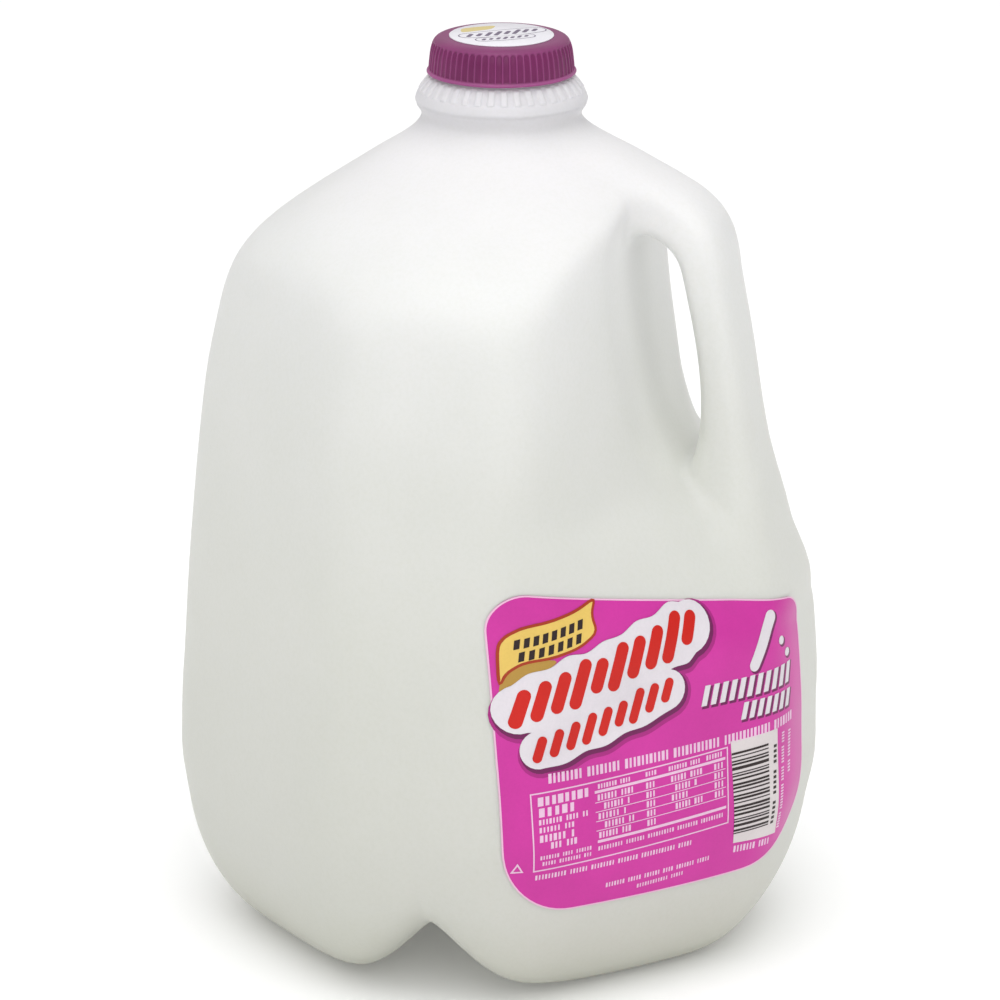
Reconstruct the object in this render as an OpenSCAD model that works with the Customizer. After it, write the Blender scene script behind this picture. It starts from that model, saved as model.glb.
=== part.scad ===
// Plastic milk jug, one US gallon: a blow-moulded jug with a corner handle,
// a snap-on screw cap with a paper disc, and a label on one face.
// Frame: +Z up, origin on the surface the jug stands on, below the neck.
// The handle is the corner towards +X, so its finger gap runs along Y, and
// the label is on the face between the -Y corner and the handle.

/* [Body] */
// Width across the widest part of the bulged faces
body_w = 166.2; // [150:0.1:180]
// Distance of a face from the axis, as a share of a corner panel's
face_share = 0.936; // [0.9:0.002:0.99]
// How flat the faces are: 0 is flat, 1 is round
face_bulge = 0.46; // [0.2:0.01:0.8]
// How flat the corner panels are: 0 is flat, 1 is round
corner_bulge = 0.32; // [0.2:0.01:0.8]
// Crispness of the creases between faces and corner panels
crease = 30; // [10:1:60]
// Height of the rounded bottom edge
bottom_h = 40.7; // [25:0.1:55]
// How far the bottom edge draws in from the sides
bottom_in = 25.2; // [12:0.1:32]
// Shape of the bottom edge: 2 is an ellipse
bottom_exp = 1.78; // [1.5:0.01:2.6]
// Depth of the groove across the base at the two corners beside the handle's
groove_h = 20.9; // [0:0.1:26]
// Half width of that groove
groove_w = 14.95; // [8:0.05:20]
// Depth of the groove in the middle of the base
groove_mid = 7; // [0:0.5:12]
// Height of the domed push-up in the middle of the base
pushup = 4; // [0:0.5:8]

/* [Handle] */
// Half width of the handle, square to the parting plane
grip_half_w = 14; // [9:0.1:18]
// Half thickness of the handle where it is thinnest
grip_half_t = 6.7; // [4.5:0.1:8]
// Roundness of the handle's section: 2 is an ellipse
grip_exp = 3; // [2:0.1:4]
// How softly the recess beside the handle meets the faces
recess_exp = 10; // [5:0.5:14]
// Angle of the recess's flanks to the wall behind the handle
flank_angle = 15.5; // [5:0.5:30]

/* [Neck] */
// Radius of the bumper roll under the cap
roll_r = 23.6; // [22:0.1:26]
// Height of the bumper roll's widest line
roll_z = 236.4; // [235:0.1:238]
// Height of the neck's top, where the cap starts
neck_top = 243.5; // [242:0.1:245]
// Radius of the neck's top
neck_r = 19; // [17:0.1:19.5]

/* [Cap] */
// Radius of the cap's bottom flange
flange_r = 20.45; // [19.8:0.05:21.5]
// Radius of the cap's side at the flange
cap_r = 19.75; // [18:0.05:20]
// Radius of the cap's side at its shoulder
cap_top_r = 18.7; // [17:0.05:19]
// Height of the cap
cap_h = 10.5; // [9:0.1:13]
// Radius of the cap's flat top
cap_flat_r = 16; // [14.5:0.1:17]
// Number of grip ribs
rib_count = 63; // [24:1:90]
// How far a rib stands out
rib_t = 0.3; // [0.1:0.05:0.6]
// Radius of the paper disc on the cap
disc_r = 14.3; // [10:0.1:15.5]
// Thickness of the paper disc
disc_t = 0.25; // [0.15:0.05:0.6]

/* [Label] */
// Left edge of the label at its top, from the middle of the face
label_left = -47.2; // [-55:0.1:-30]
// Left edge of the label at its bottom
label_left_low = -44.2; // [-55:0.1:-30]
// Right edge of the label
label_right = 55.4; // [40:0.1:58]
// Height of the label's bottom edge
label_low = 31.5; // [26:0.5:45]
// Height of the label's top edge at its left end
label_top_left = 122.3; // [100:0.1:124]
// Height of the label's top edge at its right end
label_top_right = 103.4; // [90:0.1:120]
// Thickness of the label
label_t = 0.35; // [0.25:0.05:0.6]

/* [Hidden] */
k = body_w / 166.2;
recess_n = recess_exp;
// Heights and radii of the moulded corner, over the height of the body
CORNER = [[36, 87.1], [50, 88.8], [65, 88.5], [80, 87.5], [100, 86.3], [120, 84.7],
          [140, 82.8], [160, 80.4], [175, 77.4], [186, 74.8], [193, 72], [199, 66.6],
          [206, 57.6], [213, 47.3], [218, 39.7], [222, 33.6]];
// The neck above the shoulder, round
NECK = [[222, 33.6], [224, 30.2], [226, 27.3], [228.5, 24.2], [231, 22.3], [232.8, 21.6],
        [234.2, 22.4], [235.2, 23.3], [roll_z, roll_r], [238, roll_r - 0.3],
        [239.5, 22.5], [241, 21.3], [242.5, 19.8], [neck_top, neck_r]];
// Distance from the axis of the recessed wall behind the handle
WALL = [[0, 108], [36, 111], [50, 121], [65, 124], [80, 142], [92, 136], [98, 121], [104, 105],
        [110, 91.5], [116, 81.5], [122, 73.5], [128, 66.5], [133, 60], [137, 55.2], [141, 51.6], [146, 48.3],
        [153, 45.1], [167, 41.6], [181, 39.4], [190, 38.5], [200, 37.9], [206, 38.4], [212, 40],
        [218, 41.5], [222, 46], [226, 60], [230, 90]];
// Distance of the hole's rims from the parting plane
RIM = [[100, 8], [120, 10], [132, 15], [140, 20], [150, 26.5], [158, 30.5], [167, 33.5], [200, 35.5], [209, 34], [217, 24], [230, 10]];
// Handle: distance out, height, half thickness over the thinnest, half width over the thinnest
GRIP = [[18, 219.4, 0.4, 0], [28.4, 216.8, 0.9, 0], [39.2, 212.7, 0.9, 0], [49.5, 208.2, 0.9, 0],
        [55.1, 203.6, 0.9, 0], [58.2, 198, 0.4, 0], [60, 189, -0.1, 0], [62.4, 177, -0.2, 0],
        [64.4, 164, 0, 0.1], [65.4, 153, 0.7, 0.4], [65.8, 145, 1.9, 1],
        [65.8, 137, 4, 2.5], [65.7, 128, 6.6, 5], [66.2, 118, 8.4, 8], [67, 107, 11.4, 11]];
// Heights of the rings that the body is drawn through
RINGS = [0.5, 1.6, 3.4, 6, 9.5, 14, 19.5, 26, 33, 41, 52, 66, 80, 89, 95, 99, 103, 107, 111,
         115, 119, 124, 129, 134, 139, 146, 154, 164, 175, 185, 191, 195, 199, 203, 207, 211, 215,
         219, 222, 224, 226, 228.5, 231, 233, 234.2, 235.2, 236.4, 238, 239.5, 241,
         242.4, neck_top];
quarter = 17;
nt = 4 * quarter;
ns = 16;

function clamp(x, a, b) = min(max(x, a), b);
function mix(a, b, t) = a + (b - a) * t;
function soft(t) = let (s = clamp(t, 0, 1)) s * s * (3 - 2 * s);
// A smooth curve through stations [height, value] that never overshoots them
function span(T, x, i = 0) = (i >= len(T) - 2 || x < T[i + 1][0]) ? i : span(T, x, i + 1);
function rise(T, i) = (T[i + 1][1] - T[i][1]) / (T[i + 1][0] - T[i][0]);
function lean(T, i) = i == 0 ? rise(T, 0) : i == len(T) - 1 ? rise(T, i - 1) :
    let (a = rise(T, i - 1), b = rise(T, i)) a * b <= 0 ? 0 : 2 * a * b / (a + b);
function through(T, x) = let (i = span(T, x), h = T[i + 1][0] - T[i][0],
    t = clamp((x - T[i][0]) / h, 0, 1), m0 = lean(T, i) * h, m1 = lean(T, i + 1) * h)
    (2 * t^3 - 3 * t^2 + 1) * T[i][1] + (t^3 - 2 * t^2 + t) * m0
    + (3 * t^2 - 2 * t^3) * T[i + 1][1] + (t^3 - t^2) * m1;

// Angles are measured from the handle's direction
// The section: four bulged faces and four corner panels, turning round at the neck
function panels(c, s, C, S, m) = let (a = mix(face_share, 1, m), b = mix(face_bulge, 1, m),
    g = mix(corner_bulge, 1, m), h = mix(crease, 8, m) / 2)
    ((c + b^2 * s) / a^2)^h + ((s + b^2 * c) / a^2)^h + (C + g^2 * S)^h + (S + g^2 * C)^h;
function drawn_in(z) = z >= bottom_h ? 0 :
    bottom_in * (1 - (1 - ((bottom_h - max(z, 0)) / bottom_h)^bottom_exp)^(1 / bottom_exp));
function moulded_r(t, z) = z >= 222 ? through(NECK, z) :
    let (m = soft((z - 178) / 44))
    k * through(CORNER, max(z, 36)) * (panels(0.5, 0.5, 1, 0, m)
        / panels(cos(t - 45)^2, sin(t - 45)^2, cos(t)^2, sin(t)^2, m))^(1 / mix(crease, 8, m)) - drawn_in(z);
// The wall behind the handle is flat as far as the rims of the hole, then its flanks slant away
function wall_r(t, z) = let (u = k * through(WALL, z), v = k * through(RIM, z), e = 40,
    a = max(cos(t), 0.02), b = max(cos(abs(t > 180 ? t - 360 : t) - flank_angle), 0.02))
    ((a / u)^e + (b / (u * cos(flank_angle) + v * sin(flank_angle)))^e)^(-1 / e);
function body_r(t, z) = let (r = moulded_r(t, z)) (cos(t) < 0.1 || z > 229) ? r :
    let (w = wall_r(t, z)) r / (1 + (r / w)^recess_n)^(1 / recess_n);
// The groove lifts the base along the line square to the parting plane
function lift(u, v, z) = mix(groove_mid, groove_h, soft((abs(v) - 12) / 48))
    * exp(-(abs(u + 1.2) / groove_w)^1.43) * clamp(1 - z / 78.4, 0, 1)^2;
function lifted(u, v, z) = [u, v, z + lift(u, v, z)];
// Angles crowd towards the corners, where the section bends most
function ring_angle(i) = let (q = floor(i / quarter), t = (i - q * quarter) / quarter)
    90 * q + 45 + 90 * t + 6.5 * sin(360 * t);
function ring(z, s = 1, up = 0) = [for (i = [0 : nt - 1]) let (t = ring_angle(i), r = s * body_r(t, z))
    lifted(r * cos(t), r * sin(t), z + up)];

// Faces of a closed stack of rings with n points each, lowest ring first
function stack_faces(n, m) = concat(
    [for (j = [0 : m - 2], i = [0 : n - 1]) let (a = j * n + i, b = j * n + (i + 1) % n)
        [a, a + n, b]],
    [for (j = [0 : m - 2], i = [0 : n - 1]) let (a = j * n + i, b = j * n + (i + 1) % n)
        [b, a + n, b + n]]);
function cap_low(n, c) = [for (i = [0 : n - 1]) [c, i, (i + 1) % n]];
function cap_high(n, m, c) = [for (i = [0 : n - 1]) [c, (m - 1) * n + (i + 1) % n, (m - 1) * n + i]];

module shell_body() {
    low = [for (s = [0.22, 0.48, 0.72, 0.88]) ring(0, s, pushup * (1 - soft((s - 0.15) / 0.73)))];
    rings = concat(low, [ring(0)], [for (z = RINGS) ring(z)]);
    m = len(rings);
    pts = concat([for (r = rings) each r], [lifted(0, 0, pushup)], [[0, 0, neck_top]]);
    polyhedron(pts, concat(stack_faces(nt, m), cap_low(nt, nt * m), cap_high(nt, m, nt * m + 1)));
}

function bar_dir(i) = let (a = GRIP[max(i - 1, 0)], b = GRIP[min(i + 1, len(GRIP) - 1)],
    du = b[0] - a[0], dz = b[1] - a[1], l = sqrt(du^2 + dz^2)) [du / l, dz / l];
function pow_s(x, e) = sign(x) * abs(x)^e;
function bar_ring(i) = let (g = GRIP[i], d = bar_dir(i), ht = grip_half_t + g[2], hw = grip_half_w + g[3])
    [for (j = [0 : ns - 1]) let (a = 360 * j / ns, p = ht * pow_s(cos(a), 2 / grip_exp),
        q = -hw * pow_s(sin(a), 2 / grip_exp)) [k * (g[0] - d[1] * p), q, g[1] + d[0] * p]];

module handle_bar() {
    m = len(GRIP);
    pts = concat([for (i = [0 : m - 1]) each bar_ring(i)],
        [[k * GRIP[0][0], 0, GRIP[0][1]]], [[k * GRIP[m - 1][0], 0, GRIP[m - 1][1]]]);
    polyhedron(pts, concat(stack_faces(ns, m), cap_low(ns, ns * m), cap_high(ns, m, ns * m + 1)));
}

// Jug: body, neck and handle, one moulding
module jug() {
    color([0.90, 0.91, 0.88])
        resize([0, 0, neck_top]) union() {
            shell_body();
            handle_bar();
        }
}

// Cap: a tapered side with grip ribs, a rounded shoulder and a bottom flange
module cap() {
    foot = 1.35;
    shoulder = cap_h - 1.5;
    taper = atan((cap_r - cap_top_r) / (shoulder - foot));
    color([0.50, 0.24, 0.45]) translate([0, 0, neck_top]) union() {
        rotate_extrude($fn = 120) polygon(concat(
            [[0, 0], [flange_r - 0.35, 0], [flange_r, 0.35], [flange_r, 0.85], [cap_r, foot]],
            [[cap_top_r, shoulder]],
            [for (a = [18 : 18 : 90]) [cap_flat_r + (cap_top_r - cap_flat_r) * cos(a),
                shoulder + 1.5 * sin(a)]],
            [[0, cap_h]]));
        for (i = [0 : rib_count - 1]) rotate(i * 360 / rib_count) translate([cap_r, 0, foot - 0.2])
            rotate([0, -taper, 0]) translate([-0.6, -0.3, 0])
                cube([0.6 + rib_t, 0.6, shoulder - foot]);
    }
}

// Paper disc stuck on the cap's flat top
module cap_disc() {
    color([0.95, 0.94, 0.95]) translate([0, 0, neck_top + cap_h])
        cylinder(r = disc_r, h = disc_t, $fn = 96);
}

// Label: its outline is drawn in the face's own plane, then laid on the face
LA = [[label_left, label_top_left, 9.5], [label_left_low, label_low, 21],
      [label_right + 1.6, label_low, 30], [label_right - 0.3, label_top_right, 8]];
function unit(v) = v / norm(v);
// One rounded corner of the outline, as m + 1 points
function corner_arc(i, m) = let (p = [LA[i][0], LA[i][1]], a = LA[(i + 3) % 4], b = LA[(i + 1) % 4],
    da = unit([a[0], a[1]] - p), db = unit([b[0], b[1]] - p), r = LA[i][2],
    half = acos(da * db) / 2, t = r / tan(half), c = p + unit(da + db) * (r / sin(half)),
    s0 = p + da * t - c, a0 = atan2(s0[1], s0[0]), turn = 180 - 2 * half)
    [for (j = [0 : m]) c + r * [cos(a0 + turn * j / m), sin(a0 + turn * j / m)]];
function edge_mid(p, q, m) = [for (j = [1 : m]) p + (q - p) * j / (m + 1)];
function outline() = let (A = [for (i = [0 : 3]) corner_arc(i, 7)])
    [for (i = [0 : 3]) each concat(A[i], edge_mid(A[i][7], A[(i + 1) % 4][0], 4))];
// Angle round the axis of a face point at x, found by repeated correction
function face_angle(x, z, n = 14, t = 0) = n == 0 ? t :
    face_angle(x, z, n - 1, (t + atan(x / (body_r(t - 45, z) * cos(t)))) / 2);
function on_face(p, off) = let (t = face_angle(p[0], p[1]), r = body_r(t - 45, p[1]) + off)
    lifted(r * cos(t - 45), r * sin(t - 45), p[1]);

module label() {
    o = outline();
    n = len(o);
    mid = [3, 72];
    steps = [0.2, 0.4, 0.6, 0.8, 1];
    m = len(steps);
    layer = [for (s = steps, i = [0 : n - 1]) mid + (o[i] - mid) * s];
    out = [for (p = layer) on_face(p, label_t)];
    inn = [for (p = layer) on_face(p, 0.05)];
    base = n * m + 1;
    pts = concat(out, [on_face(mid, label_t)], inn, [on_face(mid, 0.05)]);
    color([0.83, 0.25, 0.63]) polyhedron(pts, concat(
        [for (i = [0 : n - 1]) [n * m, (i + 1) % n, i]],
        [for (j = [0 : m - 2], i = [0 : n - 1]) let (a = j * n + i, b = j * n + (i + 1) % n)
            each [[a, b, a + n], [b, b + n, a + n]]],
        [for (i = [0 : n - 1]) [base + n * m, base + i, base + (i + 1) % n]],
        [for (j = [0 : m - 2], i = [0 : n - 1]) let (a = base + j * n + i, b = base + j * n + (i + 1) % n)
            each [[a, a + n, b], [b, a + n, b + n]]],
        [for (i = [0 : n - 1]) let (a = (m - 1) * n + i, b = (m - 1) * n + (i + 1) % n)
            each [[a, b, base + a], [b, base + b, base + a]]]));
}

jug();
cap();
cap_disc();
label();
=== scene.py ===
import math
import bpy
import bmesh
import numpy as np
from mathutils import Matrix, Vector


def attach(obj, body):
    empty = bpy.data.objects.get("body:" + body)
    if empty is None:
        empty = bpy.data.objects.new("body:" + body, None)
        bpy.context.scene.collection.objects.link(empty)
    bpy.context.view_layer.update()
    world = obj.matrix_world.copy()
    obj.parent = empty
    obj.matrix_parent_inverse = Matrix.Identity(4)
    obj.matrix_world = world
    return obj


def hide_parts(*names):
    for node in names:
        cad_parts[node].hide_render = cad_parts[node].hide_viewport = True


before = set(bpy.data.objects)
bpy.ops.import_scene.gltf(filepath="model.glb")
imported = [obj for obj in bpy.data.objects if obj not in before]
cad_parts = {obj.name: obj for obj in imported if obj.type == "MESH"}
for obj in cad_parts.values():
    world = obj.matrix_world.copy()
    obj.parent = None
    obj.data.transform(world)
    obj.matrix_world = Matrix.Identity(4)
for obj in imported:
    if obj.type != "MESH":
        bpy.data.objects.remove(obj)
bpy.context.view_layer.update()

MM = 0.001

# [shape] The jug's outer surface as a field in millimetres, negative inside. +X is the handle's corner.
CORNER = [[0, 87.1], [36, 87.1], [50, 88.8], [65, 88.5], [80, 87.5], [100, 86.3], [120, 84.7], [140, 82.8],
          [160, 80.4], [175, 77.4], [186, 74.8], [193, 72.0], [199, 66.6], [206, 57.6], [213, 47.3],
          [218, 39.7], [222, 33.6], [224, 30.2], [226, 27.3], [228.5, 24.2], [231, 22.3], [232.8, 21.6],
          [234.2, 22.4], [235.2, 23.3], [236.4, 23.65], [237.6, 23.3], [239.2, 21.4], [245, 20]]
WALL = [[0, 108], [36, 111], [50, 121], [65, 124], [80, 142], [92, 136], [98, 121], [104, 105],
        [110, 91.5], [116, 81.5], [122, 73.5], [128, 66.5], [133, 60], [137, 55.2], [141, 51.6], [146, 48.3],
        [153, 45.1], [167, 41.6], [181, 39.4], [190, 38.5], [200, 37.9], [206, 38.4], [212, 40],
        [218, 41.5], [222, 46], [226, 60], [230, 90]]
RIM = [[100, 8], [120, 10], [132, 15], [140, 20], [150, 26.5], [158, 30.5], [167, 33.5], [200, 35.5], [209, 34], [217, 24], [230, 10]]
GRIP = [[18, 219.4, 0.4, 0], [28.4, 216.8, 0.9, 0], [39.2, 212.7, 0.9, 0], [49.5, 208.2, 0.9, 0],
        [55.1, 203.6, 0.9, 0], [58.2, 198.0, 0.4, 0], [60.0, 189, -0.1, 0], [62.4, 177, -0.2, 0],
        [64.4, 164, 0.0, 0.1], [65.4, 153, 0.7, 0.4], [65.8, 145, 1.9, 1],
        [65.8, 137, 4.0, 2.5], [65.7, 128, 6.6, 5], [66.2, 118, 8.2, 8], [66.6, 107, 10.6, 11],
        [65.5, 96, 9.5, 12], [61.0, 86, 7.0, 10]]
GRIP_T, GRIP_W, GRIP_E = 6.7, 14.0, 3.0
BASE_H, BASE_IN, BASE_E = 40.7, 25.2, 1.78
FACE, FACE_B, CORNER_B, SECTION_P = 0.936, 0.46, 0.32, 30.0
FLANK = math.radians(15.5)


def soft(t):
    t = np.clip(t, 0, 1)
    return t * t * (3 - 2 * t)


def through(T, x):
    X = np.array([t[0] for t in T], float)
    Y = np.array([t[1] for t in T], float)
    h = np.diff(X)
    d = np.diff(Y) / h
    m = np.zeros(len(X))
    m[0], m[-1] = d[0], d[-1]
    pr = d[:-1] * d[1:]
    m[1:-1] = np.where(pr > 0, 2 * pr / np.where(pr > 0, d[:-1] + d[1:], 1), 0)
    i = np.clip(np.searchsorted(X, x, side="right") - 1, 0, len(X) - 2)
    t = np.clip((x - X[i]) / h[i], 0, 1)
    return ((2 * t**3 - 3 * t**2 + 1) * Y[i] + (t**3 - 2 * t**2 + t) * m[i] * h[i]
            + (3 * t**2 - 2 * t**3) * Y[i + 1] + (t**3 - t**2) * m[i + 1] * h[i])


def blurred(x, y, sigma):
    step = x[1] - x[0]
    n = int(4 * sigma / step) + 1
    k = np.exp(-0.5 * (np.arange(-n, n + 1) * step / sigma) ** 2)
    k /= k.sum()
    head = 2 * y[0] - y[1:n + 1][::-1]
    tail = 2 * y[-1] - y[-n - 1:-1][::-1]
    return np.convolve(np.concatenate([head, y, tail]), k, "valid")


ZS = np.arange(0, 245.01, 0.25)
_c = through(CORNER, ZS)
_w = soft((ZS - 205) / 14)
C_TAB = blurred(ZS, _c, 2.6) * (1 - _w) + blurred(ZS, _c, 0.7) * _w
C_SLOPE = 1 / np.sqrt(1 + np.clip(np.gradient(C_TAB, ZS), -2.2, 2.2) ** 2)
W_TAB = blurred(ZS, through(WALL, ZS), 1.5)
R_TAB = blurred(ZS, through(RIM, ZS), 3.0)


def section(t, z):
    """Radius of the moulded section at angle t: four faces and four corner panels, turning round at the neck."""
    m = soft((z - 178) / 44)
    a, b, g = FACE * (1 - m) + m, FACE_B * (1 - m) + m, CORNER_B * (1 - m) + m
    p = SECTION_P * (1 - m) + 8 * m
    c2, s2 = np.cos(t - math.pi / 4) ** 2, np.sin(t - math.pi / 4) ** 2
    C2, S2 = np.cos(t) ** 2, np.sin(t) ** 2
    b2, g2 = b * b, g * g

    def total(c2, s2, C2, S2):
        return (np.exp(0.5 * p * np.log((c2 + b2 * s2) / (a * a))) + np.exp(0.5 * p * np.log((s2 + b2 * c2) / (a * a)))
                + np.exp(0.5 * p * np.log(C2 + g2 * S2)) + np.exp(0.5 * p * np.log(S2 + g2 * C2)))
    return np.interp(z, ZS, C_TAB) * np.exp(np.log(total(0.5, 0.5, 1.0, 0.0) / total(c2, s2, C2, S2)) / p)


def body_radius(t, z):
    r = section(t, z)
    ct = np.cos(t)
    u, v = np.interp(z, ZS, W_TAB), np.interp(z, ZS, R_TAB)
    a = np.maximum(ct, 0.02)
    b = np.maximum(np.cos(np.abs(t) - FLANK), 0.02)
    w = ((a / u) ** 100 + (b / (u * math.cos(FLANK) + v * math.sin(FLANK))) ** 100) ** (-1 / 100)
    on = soft(ct / 0.2) * soft((230 - z) / 3)
    e = 7 + 13 * soft((z - 135) / 30)
    return r / (1 + on * (r / w) ** e) ** (1 / e)


def lift(x, y, z):
    k = np.clip(1 - z / 78.4, 0, 1)
    amp = (7 + 13.9 * soft((np.abs(y) - 12) / 48)) * np.exp(-(np.sqrt((x + 1.2) ** 2 + 0.6) / 14.95) ** 1.43)
    dome = 4.0 * (1 - soft((np.hypot(x, y) / 62 - 0.15) / 0.73))
    q = np.clip(1 - z / 25, 0, 1)
    return amp * k**2 + dome * q**2, -2 * amp * k / 78.4 - 2 * dome * q / 25


def unlift(x, y, z):
    z0 = z.copy()
    low = z < 80
    if low.any():
        xl, yl, zl = x[low], y[low], z[low]
        w = zl - 4
        for _ in range(7):
            L, dL = lift(xl, yl, np.maximum(w, 0))
            dL = np.where(w < 0, 0, dL)
            w = w - (w + L - zl) / np.maximum(1 + dL, 0.3)
        z0[low] = w
    return z0


def body_field(x, y, z):
    z0 = unlift(x, y, z)
    zc = np.clip(z0, 0, 245)
    R = body_radius(np.arctan2(y, x), zc)
    A = np.clip((BASE_H - z0) / BASE_H, 0, None)
    B = np.clip(1 - (R - np.hypot(x, y)) / BASE_IN, 0, None)
    F = BASE_IN * ((A**BASE_E + B**BASE_E) ** (1 / BASE_E) - 1)
    return np.maximum(F * np.interp(zc, ZS, C_SLOPE), z0 - 239.6)


def _grip_line():
    G = np.array(GRIP, float)
    s = np.concatenate([[0], np.cumsum(np.hypot(np.diff(G[:, 0]), np.diff(G[:, 1])))])
    q = np.arange(0, s[-1], 0.25)
    cols = [blurred(q, through(np.stack([s, G[:, i]], 1), q), 2.2) for i in range(4)]
    return np.stack(cols, 1)[::4]


LINE = _grip_line()
TAN = np.gradient(LINE[:, :2], axis=0)
TAN /= np.linalg.norm(TAN, axis=1)[:, None]


def grip_place(x, z):
    """Nearest point of the handle's line: signed offset square to it, half thickness and half width there."""
    off, ht, hw = np.empty_like(x), np.empty_like(x), np.empty_like(x)
    for k in range(0, len(x), 20000):
        X, Z = x[k:k + 20000, None], z[k:k + 20000, None]
        i = np.argmin((X - LINE[None, :, 0]) ** 2 + (Z - LINE[None, :, 1]) ** 2, axis=1)
        X, Z = X[:, 0], Z[:, 0]
        s = (X - LINE[i, 0]) * TAN[i, 0] + (Z - LINE[i, 1]) * TAN[i, 1]
        f = np.clip(i + s, 0, len(LINE) - 1)
        j = np.minimum(f.astype(int), len(LINE) - 2)
        w = f - j
        P = LINE[j] * (1 - w)[:, None] + LINE[j + 1] * w[:, None]
        T = TAN[j] * (1 - w)[:, None] + TAN[j + 1] * w[:, None]
        side = (Z - P[:, 1]) * T[:, 0] - (X - P[:, 0]) * T[:, 1]
        off[k:k + 20000] = np.copysign(np.hypot(X - P[:, 0], Z - P[:, 1]), side)
        ht[k:k + 20000] = GRIP_T + P[:, 2]
        hw[k:k + 20000] = GRIP_W + P[:, 3]
    return off, ht, hw


def grip_field(place, y):
    off, ht, hw = place
    a, b = np.abs(off) / ht + 1e-4, np.abs(y) / hw + 1e-4
    S = a**GRIP_E + b**GRIP_E
    v = S ** (1 / GRIP_E)
    g = S ** (1 / GRIP_E - 1) * np.sqrt((a ** (GRIP_E - 1) / ht) ** 2 + (b ** (GRIP_E - 1) / hw) ** 2)
    return (v - 1) / g


def joined(fb, fg, z):
    k = (4.5 + 5.0 * soft((136 - z) / 16) + 2.0 * soft((z - 150) / 45)) * (0.05 + 0.95 * soft((z - 88) / 18))
    h = np.clip(0.5 + 0.5 * (fg - fb) / k, 0, 1)
    return fg * (1 - h) + fb * h - k * h * (1 - h)


def jug_field(P):
    x, y, z = P[:, 0], P[:, 1], P[:, 2]
    f = body_field(x, y, z)
    near = (x > 5) & (z > 85) & (np.abs(y) < 50)
    if near.any():
        f[near] = joined(f[near], grip_field(grip_place(x[near], z[near]), y[near]), z[near])
    return f


def jug_slope(P, h=0.04):
    g = np.empty_like(P)
    for i in range(3):
        d = np.zeros(3)
        d[i] = h
        g[:, i] = (jug_field(P + d) - jug_field(P - d)) / (2 * h)
    return g
# [/shape]


def surface_net(V, lo, h):
    """Quads and points of the zero surface of a field sampled on a grid."""
    inside = V < 0
    nx, ny, nz = V.shape
    total = np.zeros((nx - 1, ny - 1, nz - 1), np.float64)
    acc = np.zeros((nx - 1, ny - 1, nz - 1, 3), np.float64)
    crossings = []
    for ax in range(3):
        sl0 = [slice(None)] * 3
        sl1 = [slice(None)] * 3
        sl0[ax], sl1[ax] = slice(0, -1), slice(1, None)
        a, b = V[tuple(sl0)], V[tuple(sl1)]
        ia, ib = inside[tuple(sl0)], inside[tuple(sl1)]
        I = np.argwhere(ia != ib)
        va, vb = a[tuple(I.T)], b[tuple(I.T)]
        t = va / (va - vb)
        pos = I.astype(float)
        pos[:, ax] += t
        o1, o2 = [k for k in range(3) if k != ax]
        for d1 in (0, -1):
            for d2 in (0, -1):
                C = I.copy()
                C[:, o1] += d1
                C[:, o2] += d2
                ok = (C[:, o1] >= 0) & (C[:, o2] >= 0) & (C[:, o1] < total.shape[o1]) & (C[:, o2] < total.shape[o2])
                np.add.at(total, tuple(C[ok].T), 1)
                np.add.at(acc, tuple(C[ok].T), pos[ok])
        crossings.append((ax, I, ia[tuple(I.T)]))
    cells = np.argwhere(total > 0)
    index = -np.ones(total.shape, np.int64)
    index[tuple(cells.T)] = np.arange(len(cells))
    pts = acc[tuple(cells.T)] / total[tuple(cells.T)][:, None] * h + lo
    quads = []
    for ax, I, ia in crossings:
        o1, o2 = [(1, 2), (2, 0), (0, 1)][ax]

        def cell(d1, d2):
            C = I.copy()
            C[:, o1] += d1
            C[:, o2] += d2
            return index[tuple(C.T)]
        q = np.stack([cell(-1, -1), cell(0, -1), cell(0, 0), cell(-1, 0)], 1)
        q[~ia] = q[~ia][:, ::-1]
        quads.append(q)
    return pts, np.concatenate(quads)


def relaxed(pts, quads, rounds):
    a = np.concatenate([quads[:, i] for i in range(4)])
    b = np.concatenate([quads[:, (i + 1) % 4] for i in range(4)])
    deg = np.bincount(a, minlength=len(pts)) + np.bincount(b, minlength=len(pts))
    for k in range(rounds):
        f, g = jug_field(pts), jug_slope(pts)
        g2 = np.maximum((g * g).sum(1), 1e-3)
        pts = pts - g * (np.clip(f, -1.2, 1.2) / g2)[:, None]
        if k < rounds - 2:
            avg = np.stack([np.bincount(a, pts[b, i], len(pts)) + np.bincount(b, pts[a, i], len(pts)) for i in range(3)], 1)
            d = avg / deg[:, None] - pts
            n = g / np.sqrt(g2)[:, None]
            pts = pts + 0.55 * (d - n * (d * n).sum(1)[:, None])
    return pts


def new_mesh(name, verts, faces, mats=(), smooth=True, normals=None):
    me = bpy.data.meshes.new(name)
    me.from_pydata([tuple(v) for v in verts], [], [tuple(f) for f in faces])
    me.update()
    if smooth:
        me.polygons.foreach_set("use_smooth", [True] * len(me.polygons))
    if normals is not None:
        me.normals_split_custom_set_from_vertices([tuple(n) for n in normals])
    ob = bpy.data.objects.new(name, me)
    bpy.context.scene.collection.objects.link(ob)
    for m in mats:
        me.materials.append(m)
    return ob


# ---------------------------------------------------------------- materials
def material(name):
    m = bpy.data.materials.new(name)
    m.use_nodes = True
    nt = m.node_tree
    nt.nodes.clear()
    out = nt.nodes.new("ShaderNodeOutputMaterial")
    bsdf = nt.nodes.new("ShaderNodeBsdfPrincipled")
    nt.links.new(bsdf.outputs[0], out.inputs[0])
    return m, nt, bsdf


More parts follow.
